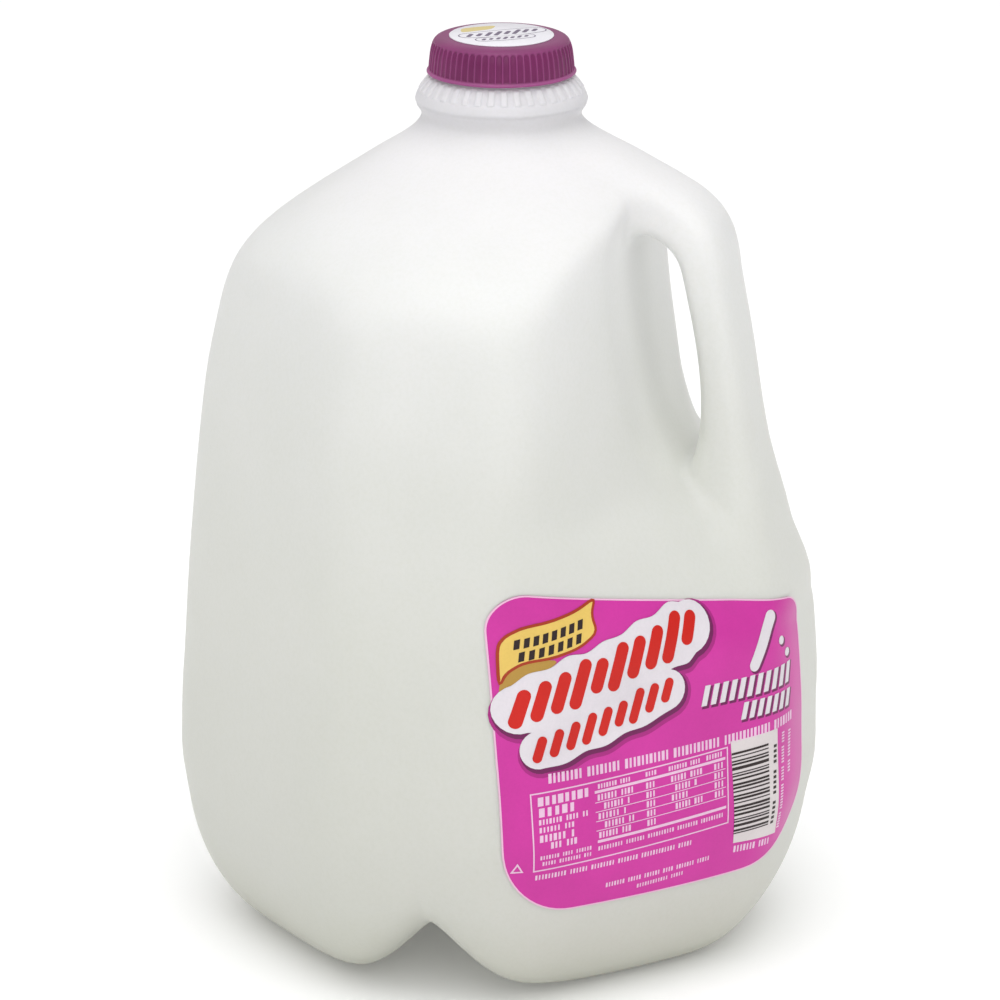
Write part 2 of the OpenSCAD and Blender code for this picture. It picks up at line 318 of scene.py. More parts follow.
def node(nt, kind, **vals):
    n = nt.nodes.new(kind)
    for k, v in vals.items():
        if k.startswith("i_"):
            n.inputs[k[2:].replace("_", " ")].default_value = v
        else:
            setattr(n, k, v)
    return n


def noise(nt, scale, detail=4.0, rough=0.5, vector=None):
    n = node(nt, "ShaderNodeTexNoise")
    n.inputs["Scale"].default_value = scale
    n.inputs["Detail"].default_value = detail
    n.inputs["Roughness"].default_value = rough
    if vector is not None:
        nt.links.new(vector, n.inputs["Vector"])
    return n


def ramp(nt, fac, stops):
    r = node(nt, "ShaderNodeValToRGB")
    el = r.color_ramp.elements
    while len(el) < len(stops):
        el.new(0.5)
    for e, (p, c) in zip(el, stops):
        e.position = p
        e.color = (*c, 1)
    nt.links.new(fac, r.inputs[0])
    return r


def bumped(nt, bsdf, fields):
    """fields: (height socket, strength, distance in metres)"""
    last = None
    for h, s, d in fields:
        b = node(nt, "ShaderNodeBump")
        b.inputs["Strength"].default_value = s
        b.inputs["Distance"].default_value = d
        nt.links.new(h, b.inputs["Height"])
        if last is not None:
            nt.links.new(last.outputs[0], b.inputs["Normal"])
        last = b
    nt.links.new(last.outputs[0], bsdf.inputs["Normal"])


def coords(nt):
    return node(nt, "ShaderNodeTexCoord").outputs["Object"]


def jug_material():
    m, nt, b = material("jug_plastic")
    co = coords(nt)
    sep = node(nt, "ShaderNodeSeparateXYZ")
    nt.links.new(co, sep.inputs[0])
    hgt = node(nt, "ShaderNodeMapRange")
    hgt.inputs["From Min"].default_value = 0.0
    hgt.inputs["From Max"].default_value = 0.25
    nt.links.new(sep.outputs["Z"], hgt.inputs["Value"])
    # Painted shade: the plastic's colour is darker towards the bottom and lighter upwards by height, standing in for
    # less light low down; the last stops turn the band at the neck darker and lilac.
    tone_and_painted_light = ramp(nt, hgt.outputs[0], [(0.0, (0.500, 0.502, 0.435)), (0.12, (0.575, 0.580, 0.535)), (0.42, (0.640, 0.645, 0.605)), (0.60, (0.672, 0.677, 0.647)),
                                     (0.80, (0.745, 0.747, 0.740)), (0.90, (0.755, 0.745, 0.755)), (0.957, (0.645, 0.633, 0.660))])
    big = noise(nt, 26.0, 3.0, 0.5, co)
    cloud = ramp(nt, big.outputs["Fac"], [(0.35, (0.972, 0.976, 0.968)), (0.65, (1.0, 1.0, 1.0))])
    mix = node(nt, "ShaderNodeMix", data_type="RGBA", blend_type="MULTIPLY")
    mix.inputs["Factor"].default_value = 1.0
    nt.links.new(tone_and_painted_light.outputs[0], mix.inputs["A"])
    nt.links.new(cloud.outputs[0], mix.inputs["B"])
    speck = noise(nt, 900.0, 2.0, 0.6, co)
    fleck = ramp(nt, speck.outputs["Fac"], [(0.30, (0.978, 0.980, 0.970)), (0.60, (1.0, 1.0, 1.0))])
    mix2 = node(nt, "ShaderNodeMix", data_type="RGBA", blend_type="MULTIPLY")
    mix2.inputs["Factor"].default_value = 1.0
    nt.links.new(mix.outputs["Result"], mix2.inputs["A"])
    nt.links.new(fleck.outputs[0], mix2.inputs["B"])
    nt.links.new(mix2.outputs["Result"], b.inputs["Base Color"])
    rough = node(nt, "ShaderNodeMapRange")
    rough.inputs["To Min"].default_value = 0.36
    rough.inputs["To Max"].default_value = 0.52
    nt.links.new(big.outputs["Fac"], rough.inputs["Value"])
    nt.links.new(rough.outputs[0], b.inputs["Roughness"])
    b.inputs["IOR"].default_value = 1.46
    b.inputs["Subsurface Weight"].default_value = 0.35
    # Painted glow: emission in the plastic's own colour, faint over the whole jug and stronger on the finger-gap walls
    # where the glow mask is set.
    gap_glow = node(nt, "ShaderNodeAttribute", attribute_name="gap_glow")
    glow = node(nt, "ShaderNodeMapRange")
    glow.inputs["To Min"].default_value = 0.02
    glow.inputs["To Max"].default_value = 0.17
    nt.links.new(gap_glow.outputs["Fac"], glow.inputs["Value"])
    nt.links.new(glow.outputs[0], b.inputs["Emission Strength"])
    nt.links.new(mix2.outputs["Result"], b.inputs["Emission Color"])
    b.inputs["Subsurface Radius"].default_value = (1.0, 0.95, 0.85)
    b.inputs["Subsurface Scale"].default_value = 0.006
    fine = noise(nt, 1500.0, 2.0, 0.5, co)
    peel = noise(nt, 160.0, 2.0, 0.5, co)
    wave = noise(nt, 22.0, 2.0, 0.5, co)
    bumped(nt, b, [(wave.outputs["Fac"], 0.25, 0.0012), (peel.outputs["Fac"], 0.12, 0.0003), (fine.outputs["Fac"], 0.10, 0.00006)])
    return m


def cap_material():
    m, nt, b = material("cap_plastic")
    co = coords(nt)
    att = node(nt, "ShaderNodeAttribute", attribute_name="tone_and_painted_light")
    big = noise(nt, 120.0, 3.0, 0.5, co)
    # Painted highlight: the lighter colour is mixed in on the ridge tops and on the band at the cap's foot by the
    # per-vertex value.
    mix = node(nt, "ShaderNodeMix", data_type="RGBA")
    mix.inputs["A"].default_value = (0.160, 0.016, 0.092, 1)
    mix.inputs["B"].default_value = (0.360, 0.085, 0.255, 1)
    nt.links.new(att.outputs["Fac"], mix.inputs["Factor"])
    cloud = ramp(nt, big.outputs["Fac"], [(0.3, (0.90, 0.90, 0.90)), (0.7, (1.08, 1.08, 1.08))])
    mul = node(nt, "ShaderNodeMix", data_type="RGBA", blend_type="MULTIPLY")
    mul.inputs["Factor"].default_value = 1.0
    nt.links.new(mix.outputs["Result"], mul.inputs["A"])
    nt.links.new(cloud.outputs[0], mul.inputs["B"])
    nt.links.new(mul.outputs["Result"], b.inputs["Base Color"])
    r = node(nt, "ShaderNodeMapRange")
    r.inputs["To Min"].default_value = 0.30
    r.inputs["To Max"].default_value = 0.44
    nt.links.new(big.outputs["Fac"], r.inputs["Value"])
    nt.links.new(r.outputs[0], b.inputs["Roughness"])
    b.inputs["IOR"].default_value = 1.5
    b.inputs["Specular IOR Level"].default_value = 0.3
    b.inputs["Subsurface Weight"].default_value = 0.15
    b.inputs["Subsurface Radius"].default_value = (1.0, 0.5, 0.9)
    b.inputs["Subsurface Scale"].default_value = 0.0012
    fine = noise(nt, 2500.0, 2.0, 0.5, co)
    bumped(nt, b, [(fine.outputs["Fac"], 0.12, 0.00004)])
    return m


JUG_MAT = jug_material()
CAP_MAT = cap_material()

# ---------------------------------------------------------------- jug
H = 1.5
lo = np.array([-96.0, -96.0, -4.0])
n = [int(math.ceil(s / H)) + 1 for s in (192, 192, 244)]
gx, gy, gz = (lo[i] + H * np.arange(n[i]) for i in range(3))
X, Y, Z = np.meshgrid(gx, gy, gz, indexing="ij")
V = body_field(X.ravel() + 0.013, Y.ravel() + 0.007, Z.ravel()).reshape(X.shape)
ix, iz = np.where(gx > 5)[0], np.where(gz > 85)[0]
GX, GZ = np.meshgrid(gx[ix], gz[iz], indexing="ij")
place = [q.reshape(GX.shape) for q in grip_place(GX.ravel() + 0.013, GZ.ravel())]
for j in np.where(np.abs(gy) < 50)[0]:
    V[np.ix_(ix, [j], iz)] = joined(V[np.ix_(ix, [j], iz)][:, 0], grip_field(place, np.full(GX.shape, gy[j] + 0.007)), GZ)[:, None]
pts, quads = surface_net(V, lo + np.array([0.013, 0.007, 0.0]), H)
pts = relaxed(pts, quads, 9)
nrm = jug_slope(pts)
nrm /= np.linalg.norm(nrm, axis=1)[:, None]
qa = np.concatenate([quads[:, i] for i in range(4)])
qb = np.concatenate([quads[:, (i + 1) % 4] for i in range(4)])
for _ in range(2):
    nrm = nrm + np.stack([np.bincount(qa, nrm[qb, i], len(pts)) + np.bincount(qb, nrm[qa, i], len(pts)) for i in range(3)], 1) / 4
    nrm /= np.linalg.norm(nrm, axis=1)[:, None]
jug = new_mesh("jug_shell", pts * MM, quads, [JUG_MAT], normals=nrm)
# Painted glow: a mask over the walls round the finger gap, where the plastic is made to glow as if light came through
# it from the far side
gap_glow_mask = (soft((pts[:, 0] - 24) / 10) * soft((64 - pts[:, 0]) / 8) * soft((33 - np.abs(pts[:, 1])) / 22)
            * soft((pts[:, 2] - 133) / 10) * soft((214 - pts[:, 2]) / 10) * (0.45 + 0.55 * soft((172 - pts[:, 2]) / 30)))
jug.data.attributes.new("gap_glow", "FLOAT", "POINT").data.foreach_set("value", gap_glow_mask.astype(np.float32))


# ---------------------------------------------------------------- neck finish with its ratchet ring
def lathe(name, profile, angles, shape=None, mats=(), tone_and_painted_light=None, cap_ends=True):
    """Rings of radius and height; shape(r, z, t) may change the radius; the ends close on the axis."""
    verts, tones = [], []
    t = np.asarray(angles)
    for r, z in profile:
        rr = np.full(t.shape, float(r))
        if shape is not None:
            rr = shape(rr, z, t)
        verts.append(np.stack([rr * np.cos(t), rr * np.sin(t), np.full(t.shape, z)], 1))
        if tone_and_painted_light is not None:
            tones.append(tone_and_painted_light(rr, z, t))
    m, k = len(profile), len(t)
    V = np.concatenate(verts + [np.array([[0, 0, profile[0][1]], [0, 0, profile[-1][1]]])])
    j, i = np.meshgrid(np.arange(m - 1), np.arange(k), indexing="ij")
    a = (j * k + i).ravel()
    b = (j * k + (i + 1) % k).ravel()
    faces = np.stack([a, b, b + k, a + k], 1).tolist()
    faces += [[m * k, (q + 1) % k, q] for q in range(k)]
    faces += [[m * k + 1, (m - 1) * k + q, (m - 1) * k + (q + 1) % k] for q in range(k)]
    ob = new_mesh(name, V * MM, faces, mats)
    if tone_and_painted_light is not None:
        att = ob.data.attributes.new("tone_and_painted_light", "FLOAT", "POINT")
        att.data.foreach_set("value", np.concatenate(tones + [np.full(2, tones[-1].mean())]).astype(np.float32))
    return ob


TEETH = 38
NECK = [[234.6, 21.9], [235.6, 23.1], [236.3, 23.5], [236.8, 23.6], [237.7, 23.35],
        [238.7, 22.9], [239.5, 22.35], [240.4, 21.7], [241.4, 20.95], [242.3, 20.15], [243.0, 19.5], [243.6, 18.9], [244.4, 18.6]]
neck_profile = [(float(through(NECK, np.array([z]))[0]), float(z)) for z in np.concatenate(
    [np.arange(234.6, 238.6, 0.25), np.arange(238.6, 243.6, 0.16), [243.6, 244.0, 244.4]])]


def teeth(r, z, t):
    w = float(soft((z - 239.1) / 0.5) * soft((243.1 - z) / 0.3))
    s = np.sin(TEETH * t)
    return r + w * 0.55 * (0.5 + 0.5 * np.tanh(3.2 * s) / math.tanh(3.2)) - w * 0.18


frac = np.array([0.0, 0.04, 0.08, 0.14, 0.25, 0.36, 0.42, 0.46, 0.5, 0.54, 0.58, 0.64, 0.75, 0.86, 0.92, 0.96])
neck = lathe("neck_finish", neck_profile, np.concatenate([2 * math.pi * (k + frac) / TEETH for k in range(TEETH)]), teeth, [JUG_MAT])

# ---------------------------------------------------------------- cap
RIBS = 63
CAP = [[0.42, 19.3], [0.44, 20.1], [0.52, 20.36], [0.68, 20.45], [0.95, 20.45], [1.12, 20.32], [1.30, 20.08], [1.42, 19.95], [2.3, 19.9],
       [4.2, 19.72], [6.8, 19.38], [8.2, 19.0], [8.9, 18.72], [9.4, 18.42], [9.8, 18.0], [10.1, 17.45], [10.3, 16.9], [10.42, 16.3], [10.5, 15.4]]
cap_z0 = 243.5
cap_profile = [(18.9, cap_z0 + 1.9), (19.1, cap_z0 + 0.9), (19.2, cap_z0 + 0.5)]
for a, b in zip(CAP[:-1], CAP[1:]):
    steps = max(1, int(round(math.hypot(b[0] - a[0], b[1] - a[1]) / 0.24)))
    for s in range(steps):
        zz = a[0] + (b[0] - a[0]) * s / steps
        cap_profile.append((float(through(CAP, np.array([zz]))[0]) if a[0] > 1.4 and a[0] < 9 else a[1] + (b[1] - a[1]) * s / steps, cap_z0 + zz))
cap_profile += [(15.4, cap_z0 + 10.5), (14.9, cap_z0 + 10.5), (7.0, cap_z0 + 10.5)]
rng = np.random.default_rng(11)
rib_depth = 0.30 * (1 + 0.16 * rng.uniform(-1, 1, RIBS))


def flute(r, z, t):
    k = np.floor(t * RIBS / (2 * math.pi)).astype(int) % RIBS
    a = (t * RIBS / (2 * math.pi) - np.floor(t * RIBS / (2 * math.pi)) - 0.5) * 1.98
    h = z - cap_z0
    top, half = 9.05, 0.76
    d = np.where(h > top - half, np.hypot(a, h - top + half), np.abs(a)) - half
    d = np.maximum(d, 1.5 - h)
    return soft(0.5 - d / 0.26), k


def ribbed(r, z, t):
    h = z - cap_z0
    if h < 1.3 or h > 9.6:
        return r
    m, k = flute(r, z, t)
    return r - rib_depth[k] * m


# Painted highlight: the ridges between the flutes get a lighter value than the flutes, less so near the top; the band
# at the foot of the cap gets a lighter value.
def rib_tone(r, z, t):
    h = z - cap_z0
    if h <= 1.35:
        return np.full(t.shape, 0.75)
    m, k = flute(r, z, t)
    up = float(soft((h - 8.4) / 1.6))
    return np.clip((1 - m) * (0.42 - 0.20 * up), 0, 1)


cap_frac = np.array([0.0, 0.05, 0.085, 0.115, 0.145, 0.18, 0.26, 0.38, 0.5, 0.62, 0.74, 0.82, 0.855, 0.885, 0.915, 0.95])
cap = lathe("cap_ribbed", cap_profile, np.concatenate([2 * math.pi * (k + cap_frac) / RIBS for k in range(RIBS)]), ribbed, [CAP_MAT], rib_tone)

# ---------------------------------------------------------------- label, in the face's own plane: s along the face, z up
ROOT2 = math.sqrt(2)
GS, GZS = np.arange(-56.0, 66.1, 1.0), np.arange(26.0, 128.1, 1.0)


def face_point(s, z, n):
    return np.stack([(s + n) / ROOT2, (s - n) / ROOT2, z], 1)


def face_map():
    S, Zf = np.meshgrid(GS, GZS, indexing="ij")
    s, z = S.ravel(), Zf.ravel()
    n = np.full(s.shape, 92.0)
    for _ in range(26):
        n = np.maximum(n - np.clip(jug_field(face_point(s, z, n)), -3, 12) * 0.9, 30)
    g = jug_slope(face_point(s, z, n))
    g /= np.linalg.norm(g, axis=1)[:, None]
    return np.concatenate([n[:, None], g], 1).reshape(S.shape + (4,))


FACE_MAP = face_map()


def on_jug(s, z, off):
    """Points over the jug's face at the offsets, and the face's normals there."""
    a = np.clip((s - GS[0]) / 1.0, 0, len(GS) - 1.001)
    b = np.clip((z - GZS[0]) / 1.0, 0, len(GZS) - 1.001)
    i, j = a.astype(int), b.astype(int)
    a, b = (a - i)[:, None], (b - j)[:, None]
    M = (FACE_MAP[i, j] * (1 - a) * (1 - b) + FACE_MAP[i + 1, j] * a * (1 - b)
         + FACE_MAP[i, j + 1] * (1 - a) * b + FACE_MAP[i + 1, j + 1] * a * b)
    nv = M[:, 1:] / np.linalg.norm(M[:, 1:], axis=1)[:, None]
    return face_point(s, z, M[:, 0]) + nv * np.reshape(off, (-1, 1)), nv


def on_cap(s, z, off):
    """Points over the cap's flat top: s to the right and z away, both turned towards the front."""
    c, d = math.cos(0.2576), math.sin(0.2576)
    nv = np.tile([0.0, 0.0, 1.0], (len(s), 1))
    return np.stack([s * c - z * d, s * d + z * c, np.zeros(len(s))], 1) + nv * np.reshape(off, (-1, 1)), nv


def sheet(name, shapes, low, high, mat, place=on_jug, step=2.0):
    """A closed sheet of small thickness over a surface: each shape is an outline, or a pair of loops for a frame."""
    b = bmesh.new()
    for shp in shapes:
        if isinstance(shp, tuple):
            o = [b.verts.new((p[0], p[1], 0)) for p in shp[0]]
            q = [b.verts.new((p[0], p[1], 0)) for p in shp[1]]
            for k in range(len(o)):
                m = (k + 1) % len(o)
                b.faces.new((o[k], o[m], q[m], q[k]))
        else:
            b.faces.new([b.verts.new((p[0], p[1], 0)) for p in shp])
    bmesh.ops.triangulate(b, faces=b.faces[:])
    xs = [v.co.x for v in b.verts]
    ys = [v.co.y for v in b.verts]
    for ax, vals in ((0, xs), (1, ys)):
        for c in np.arange(math.floor(min(vals) / step) * step + step, max(vals), step):
            co, no = [0, 0, 0], [0, 0, 0]
            co[ax], no[ax] = c + 0.0137, 1
            bmesh.ops.bisect_plane(b, geom=b.verts[:] + b.edges[:] + b.faces[:], dist=1e-5, plane_co=co, plane_no=no)
    bmesh.ops.triangulate(b, faces=[f for f in b.faces if len(f.verts) > 3])
    b.verts.index_update()
    P = np.array([v.co[:] for v in b.verts])
    F = []
    edges = {}
    for f in b.faces:
        t = [v.index for v in f.verts]
        A = P[t]
        if (A[1, 0] - A[0, 0]) * (A[2, 1] - A[0, 1]) - (A[1, 1] - A[0, 1]) * (A[2, 0] - A[0, 0]) < 0:
            t = t[::-1]
        F.append(t)
        for k in range(3):
            edges[(t[k], t[(k + 1) % 3])] = 1
    b.free()
    n = len(P)
    top, nv = place(P[:, 0], P[:, 1], high)
    bot, _ = place(P[:, 0], P[:, 1], low)
    faces = F + [[i + n for i in t[::-1]] for t in F]
    faces += [[q, p, p + n, q + n] for (p, q) in edges if (q, p) not in edges]
    ob = new_mesh(name, np.concatenate([top, bot]) * MM, faces, [mat], normals=np.concatenate([nv, nv]))
    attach(ob, "root")
    return ob


def lin(r, g, b, k=1.17):
    return tuple(min(0.95, (((c / 255 + 0.055) / 1.055) ** 2.4) / k) for c in (r, g, b))


def ink(name, rgb, rough=0.30, wobble=0.05, coat=0.0):
    m, nt, b = material(name)
    co = coords(nt)
    big = noise(nt, 60.0, 3.0, 0.5, co)
    c = ramp(nt, big.outputs["Fac"], [(0.3, tuple(v * (1 - wobble) for v in rgb)), (0.7, tuple(min(1.0, v * (1 + wobble)) for v in rgb))])
    fine = noise(nt, 1400.0, 2.0, 0.5, co)
    f = ramp(nt, fine.outputs["Fac"], [(0.3, (0.965, 0.965, 0.965)), (0.65, (1.0, 1.0, 1.0))])
    mul = node(nt, "ShaderNodeMix", data_type="RGBA", blend_type="MULTIPLY")
    mul.inputs["Factor"].default_value = 1.0
    nt.links.new(c.outputs[0], mul.inputs["A"])
    nt.links.new(f.outputs[0], mul.inputs["B"])
    nt.links.new(mul.outputs["Result"], b.inputs["Base Color"])
    r = node(nt, "ShaderNodeMapRange")
    r.inputs["To Min"].default_value = rough
    r.inputs["To Max"].default_value = rough + 0.12
    nt.links.new(big.outputs["Fac"], r.inputs["Value"])
    nt.links.new(r.outputs[0], b.inputs["Roughness"])
    b.inputs["IOR"].default_value = 1.45
    b.inputs["Specular IOR Level"].default_value = 0.3
    bumped(nt, b, [(big.outputs["Fac"], 0.15, 0.0004), (fine.outputs["Fac"], 0.10, 0.00003)])
    return m


def rounded(corners, radii, m=8):
    out = []
    n = len(corners)
    for i in range(n):
        p, a, c = (np.array(corners[(i + d) % n], float) for d in (0, -1, 1))
        da, dc = (a - p) / np.linalg.norm(a - p), (c - p) / np.linalg.norm(c - p)
        half = math.acos(float(np.clip(da @ dc, -1, 1))) / 2
        r = radii[i]
        mid = p + (da + dc) / np.linalg.norm(da + dc) * (r / math.sin(half))
        s0 = p + da * (r / math.tan(half)) - mid
        s1 = p + dc * (r / math.tan(half)) - mid
        a0 = math.atan2(s0[1], s0[0])
        turn = (math.atan2(s1[1], s1[0]) - a0 + math.pi) % (2 * math.pi) - math.pi
        out += [mid + r * np.array([math.cos(a0 + turn * k / m), math.sin(a0 + turn * k / m)]) for k in range(m + 1)]
    return out


def grown(poly, d):
    """The outline moved out by d (counter-clockwise outlines)."""
    P = np.array(poly, float)
    e = np.roll(P, -1, 0) - P
    e /= np.linalg.norm(e, axis=1)[:, None]
    en = np.stack([e[:, 1], -e[:, 0]], 1)
    v = en + np.roll(en, 1, 0)
    v /= np.maximum((v * v).sum(1), 0.5)[:, None] / 2
    area2 = (P[:, 0] * np.roll(P[:, 1], -1) - P[:, 1] * np.roll(P[:, 0], -1)).sum()
    return (P + v * d * (1 if area2 > 0 else -1)).tolist()


def stroke(pts, halfs, extra=0.0, shift=(0, 0), m=12, fine=1.0):
    """A band with round ends along a smooth line through the points."""
    P = np.array(pts, float)
    q = np.concatenate([[0], np.cumsum(np.hypot(*np.diff(P, axis=0).T))])
    t = np.linspace(0, q[-1], max(2, int(q[-1] / fine) + 1))
    X, Yv, Hh = (through(np.stack([q, c], 1), t) for c in (P[:, 0], P[:, 1], np.array(halfs, float)))
    Hh = Hh + extra
    d = np.stack([np.gradient(X), np.gradient(Yv)], 1)
    d /= np.linalg.norm(d, axis=1)[:, None]
    L = np.stack([X - d[:, 1] * Hh, Yv + d[:, 0] * Hh], 1)
    R = np.stack([X + d[:, 1] * Hh, Yv - d[:, 0] * Hh], 1)

    def end(k, a0):
        return [[X[k] + Hh[k] * math.cos(a0 - math.pi * i / m), Yv[k] + Hh[k] * math.sin(a0 - math.pi * i / m)] for i in range(1, m)]
    aE = math.atan2(d[-1, 1], d[-1, 0])
    aS = math.atan2(d[0, 1], d[0, 0])
    out = L.tolist() + end(-1, aE + math.pi / 2) + R[::-1].tolist() + end(0, aS - math.pi / 2)
    return [[p[0] + shift[0], p[1] + shift[1]] for p in out][::-1]


def bar(s, z, w, h, lean=0.0, rise=0.0, shift=(0, 0), extra=0.0):
    """A slanted bar: w wide, h high, its top moved by lean; rise is the slope of its foot."""
    w, h2 = w / 2 + extra, h / 2 + extra
    k = lean / h if h else 0
    return [[s + shift[0] + x + k * y, z + shift[1] + y + rise * x] for x, y in ((-w, -h2), (w, -h2), (w, h2), (-w, h2))]


def marks(s0, z0, s1, z1, h, pitch=1.15, fill=0.55, words=(7, 4, 9, 6), lean=0.0):
    """A row of plain small bars between two points, in groups."""
    out, n = [], int((s1 - s0) / pitch)
    w, c = 0, 0
    for i in range(n):
        if c == words[w % len(words)]:
            w, c = w + 1, 0
            continue
        c += 1
        t = (i + 0.5) / n
        out.append(bar(s0 + (s1 - s0) * t, z0 + (z1 - z0) * t, pitch * fill * (1.0 + 0.25 * math.cos(2.1 * i)), h, lean, (z1 - z0) / (s1 - s0)))
    return out


def upright(s, z0, z1, w, pitch, words=(6, 9, 5)):
    out, n = [], int((z1 - z0) / pitch)
    k, c = 0, 0
    for i in range(n):
        if c == words[k % len(words)]:
            k, c = k + 1, 0
            continue
        c += 1
        out.append(bar(s, z0 + (i + 0.5) * pitch, w, pitch * 0.55))
    return out


def rule(s0, z0, s1, z1, w):
    t = (z1 - z0) / (s1 - s0)
    return [[s0, z0 - w / 2], [s1, z1 - w / 2], [s1, z1 + w / 2], [s0, z0 + w / 2]]


LABEL = rounded([(-44.6, 31.3), (59.0, 31.3), (55.2, 104.0), (-47.8, 123.2)], [20.5, 26.0, 8.0, 9.5], 14)
INKS = {"magenta": ink("label_magenta", lin(214, 58, 166), 0.26), "edge": ink("label_edge", lin(246, 196, 226), 0.30),
        "pale": ink("print_pale", lin(244, 205, 232), 0.30), "white": ink("print_white", lin(234, 228, 234), 0.30),
        "dusk": ink("print_dusk", lin(176, 42, 134), 0.28), "dark": ink("print_dark", lin(118, 34, 92), 0.30),
        "red": ink("print_red", lin(212, 34, 24), 0.28), "gold": ink("print_gold", lin(242, 206, 108), 0.30),
        "fold": ink("print_fold", lin(190, 150, 70), 0.30), "rust": ink("print_rust", lin(176, 62, 34), 0.30),
        "black": ink("print_black", lin(48, 36, 36), 0.34), "card": ink("print_card", lin(230, 222, 222), 0.34)}

BAND = ([(-40, 90.4), (-35, 91.8), (-29.5, 93.3), (-24, 94.8), (-18.5, 96.2), (-13, 97.6), (-7.5, 99.2), (-2, 100.8), (3.5, 102.4), (8.5, 103.9), (12, 104.8)],
        [5.4, 7.0, 6.2, 7.3, 5.9, 6.9, 6.2, 7.4, 6.3, 7.2, 5.6])
LOWER = ([(-35, 78.7), (-29, 80.2), (-23, 81.8), (-17, 83.3), (-11, 85.0), (-5, 86.7), (1, 88.4), (4, 89.2)], [3.9, 4.9, 4.1, 5.0, 4.2, 5.0, 4.4, 4.2])
RIBBON = [[-44.9, 96.6], [-42.8, 100.6], [-38.6, 103.0], [-30.0, 103.4], [-22.4, 105.0], [-16.8, 108.4], [-18.2, 113.4], [-16.6, 117.8],
          [-23.0, 115.0], [-30.2, 113.4], [-38.4, 112.6], [-42.8, 110.6], [-44.9, 107.8]]
def softened(poly, rounds=2):
    P = np.array(poly, float)
    for _ in range(rounds):
        Q = np.roll(P, -1, 0)
        P = np.stack([P * 0.8 + Q * 0.2, P * 0.2 + Q * 0.8], 1).reshape(-1, 2)
    return P.tolist()


def across(line, n, t0, t1):
    P = np.array(line[0], float)
    q = np.concatenate([[0], np.cumsum(np.hypot(*np.diff(P, axis=0).T))])
    t = np.linspace(t0, t1, n) * q[-1]
    return [through(np.stack([q, c], 1), t) for c in (P[:, 0], P[:, 1], np.array(line[1], float))]


red = []
for i, (s, z, h) in enumerate(zip(*across(BAND, 10, 0.0, 1.0))):
    g = (h - 2.0) * (0.86 + 0.16 * math.cos(2.4 * i))
    red.append(stroke([(s - 0.34 * g, z - g), (s + 0.34 * g, z + g)], [1.85, 1.85]))
for i, (s, z, h) in enumerate(zip(*across(LOWER, 9, 0.0, 1.0))):
    g = (h - 1.5) * (0.86 + 0.14 * math.cos(1.9 * i + 1))
    red.append(stroke([(s - 0.34 * g, z - g), (s + 0.34 * g, z + g)], [1.35, 1.35]))

TALL = [((33.4, 90.6), (40.6, 102.0))]
right_bars = [bar(16.6 + 3.05 * i, 85.3 - 0.03 * i, 1.75, 5.6, 1.5) for i in range(11)]
right_bars += [bar(29.6 + 2.85 * i, 78.6 - 0.1 * i, 1.65, 4.7, 1.3) for i in range(7)]
dots = [((44.6, 94.6), 1.15), ((47.2, 90.6), 1.15)]


def disc(c, r, extra=0.0, shift=(0, 0), m=18):
    return [[c[0] + shift[0] + (r + extra) * math.cos(2 * math.pi * k / m), c[1] + shift[1] + (r + extra) * math.sin(2 * math.pi * k / m)] for k in range(m)]


def right_block(extra=0.0, shift=(0, 0)):
    out = [stroke([a, b], [1.75, 1.95], extra, shift) for a, b in TALL]
    out += [[[p[0] + shift[0], p[1] + shift[1]] for p in (grown(q, extra) if extra else q)] for q in right_bars]
    return out + [disc(c, r, extra, shift) for c, r in dots]



TL, TR = (-38.1, 66.6), (23.6, 69.6)          # the table's corners, then its foot
BL, BR = (-37.0, 44.2), (24.2, 47.4)


def cell(a, b):
    """A place in the table, 0..1 across and 0..1 down."""
    x0, z0 = TL[0] + (BL[0] - TL[0]) * b, TL[1] + (BL[1] - TL[1]) * b
    x1, z1 = TR[0] + (BR[0] - TR[0]) * b, TR[1] + (BR[1] - TR[1]) * b
    return x0 + (x1 - x0) * a, z0 + (z1 - z0) * a


def cells(a0, a1, b, h, pitch=1.15, fill=0.55, words=(7, 4, 9, 6)):
    return marks(*cell(a0, b), *cell(a1, b), h, pitch, fill, words)


def cell_rule(a0, a1, b, w):
    return rule(*cell(a0, b), *cell(a1, b), w)


pale = marks(-33.0, 70.3, 49.2, 72.2, 2.7, 1.28, 0.56, (8, 8, 11, 12, 13))
pale += cells(0.03, 0.28, 0.115, 2.5, 1.9, 0.66, (9,)) + cells(0.03, 0.21, 0.255, 2.5, 1.9, 0.66, (9,))
pale += cells(0.03, 0.27, 0.375, 1.5, 0.95) + cells(0.03, 0.20, 0.475, 1.5, 0.95, 0.55, (6, 5, 8))
pale += cells(0.03, 0.20, 0.585, 2.0, 1.25, 0.62, (6, 4)) + cells(0.08, 0.21, 0.69, 1.8, 1.1, 0.6, (3, 4, 5))
pale += cells(0.03, 0.28, 0.83, 1.1, 0.8, 0.5) + cells(0.04, 0.28, 0.91, 1.1, 0.8, 0.5, (5, 8, 4, 7))
pale += cells(0.32, 0.50, 0.075, 1.3, 0.85, 0.55) + cells(0.56, 0.62, 0.07, 1.3, 0.85) + cells(0.68, 0.85, 0.075, 1.3, 0.85) + cells(0.88, 0.97, 0.07, 1.4, 0.9)
for i, b in enumerate((0.215, 0.335, 0.455, 0.575, 0.695)):
    pale += cells(0.315 + 0.03 * (i % 2), 0.50 - 0.02 * (i % 3), b, 1.7, 1.0, 0.56, (6, 5, 7))
    pale += cells(0.56, 0.61, b, 1.7, 1.0)
    if i < 4:
        pale += cells(0.69 + 0.02 * (i % 2), 0.86 - 0.03 * (i % 3), b, 1.7, 1.0, 0.56, (5, 6, 4)) + cells(0.92, 0.975, b, 1.7, 1.0)
